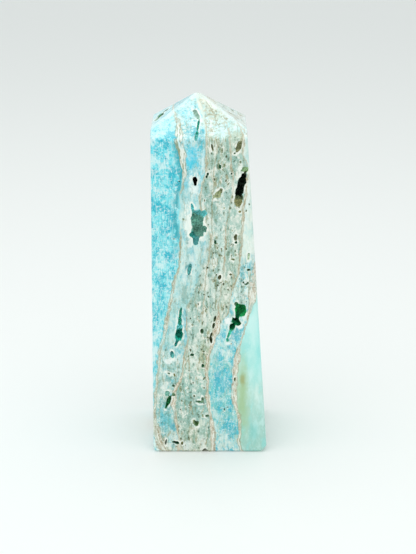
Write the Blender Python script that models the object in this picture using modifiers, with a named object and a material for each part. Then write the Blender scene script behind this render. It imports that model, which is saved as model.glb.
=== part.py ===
"""Blue aragonite tower: one polished stone point that stands on its sawn foot.

The stone is sawn from a block into a four-sided taper with a low pyramid on top, its
edges are rounded, and the hollows (vugs) that the mineral grew with are cut into it.
Lengths below are in millimetres. Z is up, the front face looks along -Y, and the
origin is the middle of the foot.
"""

import math

import bmesh
import bpy
from mathutils import Matrix, Vector, noise

MM = 0.001

# Driving dimensions of the sawn stone. The tip is sawn higher than it ends up, because
# polishing takes a little off it.
HEIGHT = 100.0
TIP_WEAR = 0.4
TIP_X = -3.5
FOOT_WIDTH = 32.2
FOOT_DEPTH = 32.0

# How far each side leans in from the foot to the shoulder. The left side is upright.
SHOULDER = 89.6
LEAN_LEFT = 0.0
LEAN_RIGHT = 6.0
LEAN_FRONT = 3.0
LEAN_BACK = 3.0

# The pyramid starts higher on the left and right sides than on the front and the back.
SHOULDER_FRONT = 89.6
SHOULDER_RIGHT = 91.9
SHOULDER_BACK = 89.4
SHOULDER_LEFT = 92.0

# Chamfers that were ground on the foot, measured along the side and along the floor.
FOOT_CHAMFER_LEFT = 1.1
FOOT_CHAMFER_RIGHT = 1.9
FOOT_CHAMFER_FRONT = 0.5
FOOT_CHAMFER_BACK = 0.9

# Rounding of the polished edges: the widest one, and each kind's share of it.
EDGE_ROUND = 0.9
UPRIGHT_SHARE = 1.0
RIDGE_SHARE = 0.8
SHOULDER_SHARE = 0.45
ROUND_SEGMENTS = 3

# Where more than three sawn faces meet, their corners closer than this become one.
CORNER_MERGE = 0.01

# An edge sharper than this is shaded as one.
CRISP_ANGLE = math.radians(35)

# A hollow is a chain of rounded lobes. Each lobe is (u, z, half width, half height,
# lean in degrees, depth): u is the distance across its face from the axis (X on the
# front and back, Y on the left and right), z is its height, and a positive lean tips
# its top towards +u.
FRONT_HOLLOWS = {
    "white_rimmed_hole": [(-4.1, 78.2, 0.7, 1.15, 5, 3.5)],
    "grey_cave": [
        (-3.5, 67.6, 1.6, 2.9, 0, 3.4),
        (-1.9, 69.2, 0.95, 0.8, 0, 2.4),
        (-4.6, 70.3, 0.5, 1.4, -15, 1.6),
        (-3.1, 64.2, 2.0, 1.9, 0, 3.2),
        (-1.5, 64.3, 0.85, 0.9, 0, 2.2),
        (-4.6, 63.1, 1.1, 0.9, 0, 2.2),
        (-3.9, 61.2, 0.9, 1.5, 0, 1.6),
    ],
    "shallow_groove": [
        (-4.6, 57.2, 0.8, 2.4, 14, 0.6),
        (-5.2, 53.9, 0.8, 2.1, 0, 0.9),
        (-5.2, 51.4, 0.5, 1.4, 0, 0.6),
    ],
    "left_cleft": [
        (-8.2, 41.0, 0.42, 1.6, 8, 2.0),
        (-8.5, 38.3, 0.36, 1.4, 8, 1.6),
        (-8.5, 35.3, 0.9, 2.3, 0, 3.0),
        (-9.2, 32.6, 0.42, 1.6, 22, 1.8),
    ],
    "green_twin_cave": [
        (8.25, 42.0, 1.5, 1.7, 0, 3.8),
        (7.5, 43.4, 0.75, 0.75, 0, 2.2),
        (7.3, 40.1, 0.55, 0.9, 20, 2.4),
        (7.2, 38.4, 1.05, 1.0, 25, 3.2),
        (6.1, 37.0, 0.8, 1.2, 15, 2.8),
        (5.25, 34.9, 0.4, 1.4, 22, 1.4),
        (4.85, 33.3, 0.42, 0.7, 0, 1.0),
    ],
    "edge_cleft": [
        (9.1, 81.2, 1.2, 1.0, 10, 1.2),
        (8.7, 78.4, 1.15, 2.5, 22, 4.6),
        (7.9, 75.7, 1.05, 2.0, 12, 4.8),
        (7.7, 73.2, 1.0, 2.1, 0, 2.6),
    ],
    "brown_slot": [(7.7, 87.7, 0.7, 1.6, 18, 1.5)],
    "short_slit": [(0.55, 87.4, 0.34, 1.0, -12, 1.3)],
    "brown_pocket": [
        (2.15, 74.4, 0.95, 1.2, 18, 1.3),
        (2.9, 75.5, 0.6, 0.75, 15, 1.2),
    ],
    "upper_pocks": [
        (-0.8, 79.8, 0.55, 0.6, 0, 1.2),
        (2.8, 82.0, 0.42, 0.55, 0, 1.2),
        (5.7, 80.2, 0.38, 0.35, 0, 0.9),
        (8.0, 69.8, 0.45, 0.35, 0, 0.9),
        (6.6, 85.7, 0.4, 0.35, 0, 0.8),
    ],
    "middle_pocks": [
        (6.9, 62.7, 0.5, 0.9, 0, 1.6),
        (7.0, 61.1, 0.6, 0.55, 0, 1.2),
        (1.4, 61.3, 0.4, 0.5, 0, 1.0),
        (6.3, 56.3, 0.7, 0.5, 0, 1.3),
        (2.5, 51.3, 0.55, 0.75, 10, 1.5),
        (5.6, 52.1, 0.4, 0.4, 0, 0.9),
    ],
    "right_edge_pocks": [
        (10.7, 57.3, 0.5, 1.1, 0, 1.5),
        (10.4, 53.3, 0.6, 0.4, 0, 1.3),
        (9.6, 49.4, 1.0, 0.5, 8, 1.1),
        (8.6, 49.9, 0.4, 0.4, 0, 0.9),
    ],
    "seam_pocks": [
        (1.25, 39.2, 0.34, 1.0, 14, 1.2),
        (0.85, 37.2, 0.34, 0.8, 8, 1.1),
        (0.35, 34.8, 0.34, 0.6, 12, 1.1),
        (0.2, 33.3, 0.36, 0.8, -5, 1.0),
    ],
    "lower_pocks": [
        (-2.3, 35.7, 0.52, 0.8, 0, 1.6),
        (-5.0, 29.0, 0.55, 0.42, 0, 1.2),
        (-2.1, 25.7, 0.45, 0.55, 0, 1.4),
        (-10.5, 28.9, 0.5, 1.2, -5, 1.3),
        (-11.3, 23.3, 0.55, 0.5, 0, 1.2),
        (-10.0, 23.1, 0.4, 0.45, 0, 1.0),
        (-10.3, 19.8, 0.45, 0.4, 0, 1.0),
        (-10.2, 17.0, 0.5, 0.38, 0, 1.0),
        (6.9, 21.7, 0.36, 0.75, 0, 1.0),
        (4.3, 13.0, 0.42, 0.38, 0, 0.9),
    ],
    "lower_left_cleft": [
        (-11.7, 15.2, 0.55, 1.9, 20, 2.4),
        (-12.0, 17.5, 0.6, 0.9, 10, 0.9),
        (-12.4, 13.3, 0.36, 0.7, 15, 1.4),
    ],
    "round_hole": [(-4.0, 8.6, 0.75, 1.1, -12, 2.4)],
    "comb_pocket": [
        (-2.8, 15.0, 1.0, 0.42, 5, 1.2),
        (-3.2, 16.3, 0.5, 0.36, 0, 0.9),
        (-0.7, 10.8, 0.6, 0.5, -20, 1.2),
    ],
    "foot_slits": [
        (-9.8, 2.9, 0.8, 0.45, 15, 1.7),
        (-12.5, 3.0, 0.32, 1.1, 8, 1.4),
        (-7.9, 2.7, 0.36, 0.6, 0, 1.0),
    ],
    "foot_notch": [(-1.5, 0.2, 0.9, 0.8, 0, 1.8)],
}

FRONT_FACET_HOLLOWS = {
    "top_crack": [
        (-3.8, 95.0, 0.75, 1.3, -28, 1.1),
        (-3.25, 93.1, 0.45, 0.95, -8, 1.4),
        (-3.45, 91.4, 0.42, 1.2, 10, 2.0),
    ],
}

LEFT_FACET_HOLLOWS = {
    "ridge_hollow": [
        (-2.2, 92.9, 1.6, 0.8, 0, 1.4),
        (0.6, 93.6, 2.6, 1.2, 0, 1.9),
        (2.4, 94.7, 1.2, 0.8, 0, 1.4),
    ],
}

RIGHT_FACET_HOLLOWS = {
    "facet_pocks": [
        (-2.6, 94.8, 0.6, 0.8, 10, 1.2),
        (3.9, 94.3, 0.9, 0.6, 0, 1.3),
    ],
}

BACK_FACET_HOLLOWS = {
    "back_facet_cleft": [
        (-6.2, 92.6, 0.6, 1.3, 25, 1.6),
        (-5.3, 94.4, 0.45, 0.9, 20, 1.2),
        (1.3, 94.6, 0.6, 0.7, 0, 1.1),
    ],
}

BACK_HOLLOWS = {
    "back_long_cave": [
        (1.6, 71.8, 0.9, 2.2, -18, 3.2),
        (2.2, 68.6, 1.5, 2.4, -8, 4.0),
        (2.9, 65.0, 1.1, 2.0, -5, 3.2),
        (3.9, 66.6, 0.8, 0.8, 0, 2.0),
        (3.2, 62.4, 0.5, 1.3, 0, 1.8),
    ],
    "back_low_cave": [
        (-4.9, 29.8, 1.5, 1.7, 15, 3.8),
        (-3.6, 31.5, 0.9, 1.0, 0, 2.6),
        (-5.6, 27.2, 0.8, 1.4, 10, 2.4),
    ],
    "back_upper_slot": [
        (-1.2, 84.6, 0.7, 1.9, 12, 2.2),
        (-1.7, 81.9, 0.4, 1.0, 10, 1.4),
    ],
    "back_cleft": [
        (-1.4, 50.2, 0.5, 2.4, 8, 2.4),
        (-1.9, 47.0, 0.8, 1.6, 5, 2.8),
        (-2.2, 44.6, 0.4, 1.2, 8, 1.5),
    ],
    "back_right_cave": [
        (7.4, 46.4, 1.1, 1.2, 0, 2.8),
        (6.6, 44.7, 0.7, 0.9, 0, 2.0),
    ],
    "back_pocks": [
        (0.4, 77.9, 0.5, 0.7, 0, 1.2),
        (4.6, 76.4, 0.6, 0.5, 0, 1.2),
        (-3.1, 73.8, 0.5, 0.8, 0, 1.3),
        (5.6, 59.2, 0.6, 0.8, 0, 1.4),
        (1.0, 57.6, 0.5, 0.5, 0, 1.1),
        (-3.8, 56.0, 0.45, 0.9, 10, 1.2),
        (3.3, 52.8, 0.55, 0.45, 0, 1.1),
        (2.6, 38.9, 0.5, 0.7, 0, 1.3),
        (-0.6, 37.2, 0.6, 0.5, 0, 1.2),
        (1.2, 33.4, 0.5, 0.9, 0, 1.3),
        (5.0, 30.6, 0.6, 0.6, 0, 1.3),
        (1.9, 25.2, 0.7, 0.6, 0, 1.5),
        (-1.6, 22.0, 0.45, 0.8, -10, 1.2),
        (-7.1, 19.3, 0.6, 0.9, 0, 1.5),
        (0.6, 16.7, 0.6, 0.5, 0, 1.2),
        (4.0, 12.5, 0.8, 0.9, 0, 2.0),
        (-3.0, 9.4, 0.5, 0.6, 0, 1.2),
        (8.2, 7.6, 0.6, 1.2, 10, 1.6),
    ],
}

LEFT_HOLLOWS = {
    "left_pocks": [
        (6.2, 24.3, 0.6, 1.5, 10, 1.6),
        (5.4, 21.4, 0.4, 1.0, 10, 1.2),
        (8.6, 15.8, 0.8, 0.8, 0, 1.8),
        (3.1, 12.9, 0.5, 0.6, 0, 1.2),
        (7.0, 8.4, 0.9, 0.5, 0, 1.5),
        (-2.4, 6.6, 0.45, 0.7, 0, 1.1),
        (1.8, 63.2, 0.35, 0.8, 0, 1.0),
    ],
}

RIGHT_HOLLOWS = {
    "right_upper_cave": [
        (1.6, 78.2, 0.8, 1.9, 14, 2.6),
        (2.4, 75.2, 1.1, 1.5, 5, 3.0),
        (2.0, 72.7, 0.5, 1.1, 0, 1.6),
    ],
    "right_pocks": [
        (-5.4, 66.3, 0.5, 1.1, 0, 1.3),
        (-7.2, 51.4, 0.6, 0.9, 0, 1.4),
        (-4.0, 47.8, 0.5, 0.5, 0, 1.1),
        (5.6, 58.9, 0.6, 0.6, 0, 1.2),
        (3.9, 41.2, 0.5, 1.0, -8, 1.3),
        (8.8, 33.4, 0.7, 1.4, -6, 1.8),
        (-2.2, 84.4, 0.5, 0.6, 0, 1.1),
    ],
}

# How rough a lobe's wall is, as a share of its half width, and the size of its bumps.
WALL_ROUGHNESS = 0.28
WALL_BUMP = 0.9

# Lobes wider than this get the finer ball.
FINE_LOBE = 0.48


def at_mm(x, y, z):
    return Vector((x, y, z)) * MM


def corner(left_or_right, front_or_back, z):
    """The corner of the stone's outline at a height, from how its two sides lean."""
    lean_x = LEAN_LEFT if left_or_right < 0 else LEAN_RIGHT
    lean_y = LEAN_FRONT if front_or_back < 0 else LEAN_BACK
    x = left_or_right * (FOOT_WIDTH / 2 - lean_x * z / SHOULDER)
    y = front_or_back * (FOOT_DEPTH / 2 - lean_y * z / SHOULDER)
    return at_mm(x, y, z)


def stone_planes():
    """Each sawn face as a point on it and its outward normal, in metres."""
    tip = at_mm(TIP_X, 0, HEIGHT + TIP_WEAR)
    sides = {
        "front": ((-1, -1), (1, -1), SHOULDER_FRONT),
        "right": ((1, -1), (1, 1), SHOULDER_RIGHT),
        "back": ((1, 1), (-1, 1), SHOULDER_BACK),
        "left": ((-1, 1), (-1, -1), SHOULDER_LEFT),
    }
    planes = {}
    for name, (first, second, shoulder) in sides.items():
        foot = (corner(*first, 0), corner(*second, 0))
        top = (corner(*first, shoulder), corner(*second, shoulder))
        for face, (a, b), c in ((name, foot, top[0]), (f"{name}_facet", top, tip)):
            planes[face] = (a, (b - a).cross(c - a).normalized())
    return planes


def foot_chamfer_planes():
    """The four small bevels round the foot, at 45 degrees."""
    half_x, half_y = FOOT_WIDTH / 2, FOOT_DEPTH / 2
    rows = [
        (Vector((-1, 0, -1)), at_mm(-half_x, 0, FOOT_CHAMFER_LEFT)),
        (Vector((1, 0, -1)), at_mm(half_x, 0, FOOT_CHAMFER_RIGHT)),
        (Vector((0, -1, -1)), at_mm(0, -half_y, FOOT_CHAMFER_FRONT)),
        (Vector((0, 1, -1)), at_mm(0, half_y, FOOT_CHAMFER_BACK)),
    ]
    return [(point, normal.normalized()) for normal, point in rows]


def saw(bm, point, normal):
    """Cuts off what lies outside a plane and closes the cut with one face."""
    geometry = bm.verts[:] + bm.edges[:] + bm.faces[:]
    cut = bmesh.ops.bisect_plane(bm, geom=geometry, plane_co=point, plane_no=normal, clear_outer=True)
    rim = [item for item in cut["geom_cut"] if isinstance(item, bmesh.types.BMEdge)]
    if rim:
        bmesh.ops.edgeloop_fill(bm, edges=rim)


def edge_share(edge):
    """How round an edge is polished, as a share of the widest rounding."""
    low, high = sorted(vert.co.z / MM for vert in edge.verts)
    if high < 1:
        return 0.0
    if low < SHOULDER_BACK - 1:
        return UPRIGHT_SHARE
    if high > HEIGHT - 1:
        return RIDGE_SHARE
    return SHOULDER_SHARE


def sawn_block():
    """The stone before its hollows: a block, sawn to its faces, with rounded edges."""
    bpy.ops.mesh.primitive_cube_add(size=1)
    block = bpy.context.object
    block.name = block.data.name = "tower"
    bm = bmesh.new()
    bm.from_mesh(block.data)
    block_size = Vector((FOOT_WIDTH * 1.2, FOOT_DEPTH * 1.2, HEIGHT * 1.1)) * MM
    bmesh.ops.scale(bm, vec=block_size, verts=bm.verts)
    bmesh.ops.translate(bm, vec=(0, 0, block_size.z / 2), verts=bm.verts)
    for point, normal in stone_planes().values():
        saw(bm, point, normal)
    bmesh.ops.remove_doubles(bm, verts=bm.verts, dist=CORNER_MERGE * MM)
    weights = bm.edges.layers.float.new("bevel_weight_edge")
    for edge in bm.edges:
        edge[weights] = edge_share(edge)
    bm.to_mesh(block.data)

    rounding = block.modifiers.new("polished edges", "BEVEL")
    rounding.limit_method = "WEIGHT"
    rounding.width = EDGE_ROUND * MM
    rounding.segments = ROUND_SEGMENTS
    bpy.ops.object.modifier_apply(modifier=rounding.name)

    bm.clear()
    bm.from_mesh(block.data)
    for point, normal in foot_chamfer_planes():
        saw(bm, point, normal)
    bmesh.ops.recalc_face_normals(bm, faces=bm.faces)
    bm.to_mesh(block.data)
    bm.free()
    return block


def lobe_matrix(plane, across, lobe):
    """Places a unit ball as one lobe: its middle on the face, its long way up the face."""
    u, z, half_width, half_height, lean, depth = lobe
    point, normal = plane
    place = at_mm(u, 0, z) if across == "x" else at_mm(0, u, z)
    solve_for = 1 if across == "x" else 0
    place[solve_for] = 0
    place[solve_for] = (point - place).dot(normal) / normal[solve_for]
    up = (Vector((0, 0, 1)) - normal * normal.z).normalized()
    side = up.cross(normal)
    towards = Vector((1, 0, 0)) if across == "x" else Vector((0, 1, 0))
    turn = lean if side.dot(towards) > 0 else -lean
    axes = Matrix((side, -normal, up)).transposed().to_4x4()
    lean_turn = Matrix.Rotation(math.radians(turn), 4, "Y")
    stretch = Matrix.Diagonal((half_width * MM, depth * MM, half_height * MM, 1))
    return Matrix.Translation(place) @ axes @ lean_turn @ stretch


def lobe_ball(name, matrix, half_width, seed):
    """A rough ball that cuts one lobe of a hollow."""
    subdivisions = 2 if half_width > FINE_LOBE else 1
    ball = bpy.data.meshes.new(name)
    bm = bmesh.new()
    bmesh.ops.create_icosphere(bm, subdivisions=subdivisions, radius=1)
    for vert in bm.verts:
        bump = noise.noise(vert.co / WALL_BUMP + Vector((seed * 3.7, seed * 1.3, 0)))
        vert.co *= 1 + WALL_ROUGHNESS * bump
    bmesh.ops.transform(bm, matrix=matrix, verts=bm.verts)
    bmesh.ops.recalc_face_normals(bm, faces=bm.faces)
    bm.to_mesh(ball)
    bm.free()
    cutter = bpy.data.objects.new(name, ball)
    cutter.hide_render = True
    cutter.display_type = "WIRE"
    return cutter


def make_cutters(collection):
    """One rough ball for each lobe of each hollow, on its face of the stone."""
    planes = stone_planes()
    faces = [
        ("front", "x", FRONT_HOLLOWS),
        ("front_facet", "x", FRONT_FACET_HOLLOWS),
        ("left_facet", "y", LEFT_FACET_HOLLOWS),
        ("right_facet", "y", RIGHT_FACET_HOLLOWS),
        ("back_facet", "x", BACK_FACET_HOLLOWS),
        ("back", "x", BACK_HOLLOWS),
        ("left", "y", LEFT_HOLLOWS),
        ("right", "y", RIGHT_HOLLOWS),
    ]
    seed = 0
    for face, across, hollows in faces:
        for hollow, lobes in hollows.items():
            for lobe in lobes:
                seed += 1
                matrix = lobe_matrix(planes[face], across, lobe)
                cutter = lobe_ball(f"{hollow}_{seed}", matrix, lobe[2], seed)
                collection.objects.link(cutter)


def stone_material():
    """Polished blue aragonite, as one colour for the whole stone."""
    material = bpy.data.materials.new("blue_aragonite")
    material.use_nodes = True
    shader = material.node_tree.nodes["Principled BSDF"]
    shader.inputs["Base Color"].default_value = (0.36, 0.62, 0.62, 1)
    shader.inputs["Roughness"].default_value = 0.25
    shader.inputs["Metallic"].default_value = 0.0
    return material


def build():
    for old in list(bpy.data.objects):
        bpy.data.objects.remove(old)
    parts = bpy.data.collections.new("blue_aragonite_tower")
    cutters = bpy.data.collections.new("hollow_cutters")
    bpy.context.scene.collection.children.link(parts)
    bpy.context.scene.collection.children.link(cutters)
    cutters.hide_render = True
    make_cutters(cutters)

    tower = sawn_block()
    for collection in list(tower.users_collection):
        collection.objects.unlink(tower)
    parts.objects.link(tower)
    hollows = tower.modifiers.new("hollows", "BOOLEAN")
    hollows.operation = "DIFFERENCE"
    hollows.operand_type = "COLLECTION"
    hollows.collection = cutters
    # The exact solver leaves gaps where so many lobes cross, so the manifold one cuts here.
    hollows.solver = "MANIFOLD"
    tower.data.materials.append(stone_material())
    tower.data.shade_smooth()
    tower.data.set_sharp_from_angle(angle=CRISP_ANGLE)


build()
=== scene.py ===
import functools
import itertools
import math

import bmesh
import bpy
import numpy as np
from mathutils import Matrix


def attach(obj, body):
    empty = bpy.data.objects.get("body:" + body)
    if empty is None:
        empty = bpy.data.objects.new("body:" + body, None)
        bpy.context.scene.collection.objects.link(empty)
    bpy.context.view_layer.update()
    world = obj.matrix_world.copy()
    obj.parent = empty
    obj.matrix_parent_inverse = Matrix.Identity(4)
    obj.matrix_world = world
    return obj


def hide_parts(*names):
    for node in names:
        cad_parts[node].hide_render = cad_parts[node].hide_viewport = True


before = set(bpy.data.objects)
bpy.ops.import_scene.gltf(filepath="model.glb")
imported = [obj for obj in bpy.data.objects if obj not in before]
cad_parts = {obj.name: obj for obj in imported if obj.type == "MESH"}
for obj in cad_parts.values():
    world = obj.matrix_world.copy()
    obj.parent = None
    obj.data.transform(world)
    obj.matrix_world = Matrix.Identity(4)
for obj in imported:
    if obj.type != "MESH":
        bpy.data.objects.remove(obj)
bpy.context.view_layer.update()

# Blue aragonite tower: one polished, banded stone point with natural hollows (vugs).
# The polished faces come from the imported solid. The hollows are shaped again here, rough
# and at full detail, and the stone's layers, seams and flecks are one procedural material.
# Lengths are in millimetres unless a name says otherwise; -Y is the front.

import openvdb
from mathutils import Vector

MM = 0.001
SHOULDER = 89.6
FRONT = (0, -1, 0)
GAMMA = 2.2

# A face with at least this area, in square millimetres, is one of the large polished
# faces. It is a side if its outward direction rises less than SIDE_RISE.
LARGE_AREA = 50
SIDE_RISE = 0.3

# Angles in degrees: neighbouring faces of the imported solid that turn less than
# FLAT_ANGLE are joined, and edges that turn more than SHARP_ANGLE look sharp.
FLAT_ANGLE = 0.4
SHARP_ANGLE = 38

# The polished faces are divided into cells of this size. Near a hollow each cell is
# divided again, because its points carry the white rim and the hollow's colours.
FACE_STEP = 1.6
FIRST_CUT = 0.37 * FACE_STEP
NEAR_HOLLOW = 1.5
NEAR_RIM = 0.6 * FACE_STEP
NEAR_CUTS = 3

# The hollows are shaped on a grid of this pitch, which reaches this far past the stone.
# A hollow is left out unless it comes this far out of the surface and reaches this deep.
VOXEL = 0.2
GRID_MARGIN = 1.6
ADAPTIVITY = 0.1
LEAST_OPENING = 0.05
LEAST_DEPTH = 0.15

# How far a lobe bulges out of its face, so that it cuts the face cleanly. The higher its
# power, the squarer it is.
LOBE_OUTSIDE = 0.9
LOBE_POWER = 2.5
LOBE_BLEND = 0.3
LOBE_MARGIN = 0.8

# The crust of small crystals on the hollows' walls: sizes and heights, coarse to fine.
# A lobe narrower than FULL_CRUST has a thinner crust and a narrower rim.
SWELL, SWELL_HEIGHT = 2.2, 0.24
KNOB, KNOB_HEIGHT = 1.05, 0.5
GRAIN, GRAIN_HEIGHT = 0.5, 0.28
FULL_CRUST = 1.0
CRUST_REACH = 1.0
CRUST_SEED = 11
FULL_RIM, LEAST_RIM = 0.75, 0.05

# Small pits: where they lie, how far they lean in degrees, and their half width, half
# height and depth. On the front most lie in strings in the crumbly layer.
PORE_ACROSS = (-14.5, 12.5)
PORE_HEIGHTS = (2, 87)
PORE_LEANS = (-25, 35)
PORE_SIZES = ((0.19, 0.33), (0.24, 0.65), (0.35, 0.8))
PORE_STRINGS = 7
STRING_SPREAD = 0.25
LOOSE_PORES = 0.12
PORE_SEED = 5

# How far the painted highlight along a ridge reaches.
ARRIS_WIDTH = 1.6

# The seams between the stone's layers, as (height, x) on the front face, bottom to top.
SEAMS = {
    "left": [
        (0, -12.6), (3, -14.2), (8, -15.6), (15, -15.5), (22.5, -14.8), (27, -14.3),
        (30, -13.9), (35, -12.6), (40, -11.8), (45, -10.9), (50, -9.9), (55, -8.5),
        (60, -8.2), (73, -8.2), (77.5, -7.3), (80, -6.9), (85, -7.6), (90, -8.5),
        (92.5, -8.6), (96, -10.1), (100, -11.5),
    ],
    "lower_left": [
        (0, -7.6), (8.5, -9.5), (17.5, -10.0), (22.5, -8.0), (27.5, -7.4), (32.5, -6.4),
        (42.5, -6.3), (47, -4.6), (52, -2.6), (57, -0.9), (60, -0.7), (72.5, -3.3),
        (77.5, -2.2), (82.5, -1.2), (90, -1.3), (100, -4.5),
    ],
    "middle": [
        (0, -2.5), (10, -3.6), (22.5, -3.4), (37.5, -2.4), (42.5, -2.1), (47.5, -1.5),
        (52.5, -1.0), (57.5, -0.2), (62.5, -0.1), (72.5, -2.9), (75, -2.5), (77.5, -2.0),
        (80, -1.2), (90, -1.1), (93, -1.15), (96, -1.9), (98, -2.9), (100, -4.0),
    ],
    "pink": [
        (0, 0.5), (5, 0.8), (10, 0.2), (15, -0.7), (22.5, -0.9), (27.5, -0.8), (30, 0),
        (35, 1.5), (40, 2.3), (45, 2.6), (50, 3.2), (55, 3.8), (65, 4.4), (72, 5.4),
        (77.5, 6.2), (82.5, 5.6), (90, 5.3), (92, 4.9), (94, 4.2), (96, 2.6), (98, 0.2),
        (100, -3.2),
    ],
    "wedge": [
        (0, 0.9), (10, 0.6), (22.5, -0.5), (30, 0.5), (37, 2.3), (40, 4.3), (42.5, 5.4),
        (45, 5.6), (47.5, 6.2), (50, 7.0), (52.5, 7.7), (57.5, 8.3), (67.5, 8.9),
        (75, 9.5), (82, 10.2), (86, 8.7), (90, 8.9), (96, 3.6), (100, -2.4),
    ],
    "right": [
        (0, 9.2), (2.5, 8.3), (7.5, 8.5), (12.5, 7.7), (15, 6.9), (20, 6.8), (27.5, 7.5),
        (32.5, 8.5), (35, 9.2), (40, 10.6), (45, 11.6), (50, 12.3), (54, 12.6),
        (58, 13.6), (70, 14.5), (90, 13.5), (100, 6.0),
    ],
}

# Wall colours of the hollows.
# Near-black for the deepest hollows: partly their walls' dark green, partly painted shade.
SHADE_BLACK_GREEN = (28, 52, 32)
LEAF_GREEN = (40, 184, 108)
JADE = (24, 158, 104)
DARK_GREEN = (58, 124, 88)
PIT_GREEN = (124, 162, 132)
PORE_GREEN = (172, 184, 158)
GREEN_TEAL = (104, 226, 202)
DEEP_TEAL = (22, 176, 154)
TEAL = (62, 168, 162)
GREY_TEAL = (140, 204, 188)
SOFT_TEAL = (140, 234, 238)
OLIVE = (150, 156, 120)
DARK_OLIVE = (104, 122, 86)
MOSS = (186, 196, 158)
BROWN = (168, 170, 124)
SKY_TEAL = (104, 186, 182)
DUSK_TEAL = (88, 168, 168)
FAINT_GREEN = (186, 208, 182)
SEA_TEAL = (76, 204, 184)
SLATE_TEAL = (118, 174, 158)
FERN = (142, 178, 132)
MINT_GREY = (170, 200, 188)
FOREST = (44, 142, 88)

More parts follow.
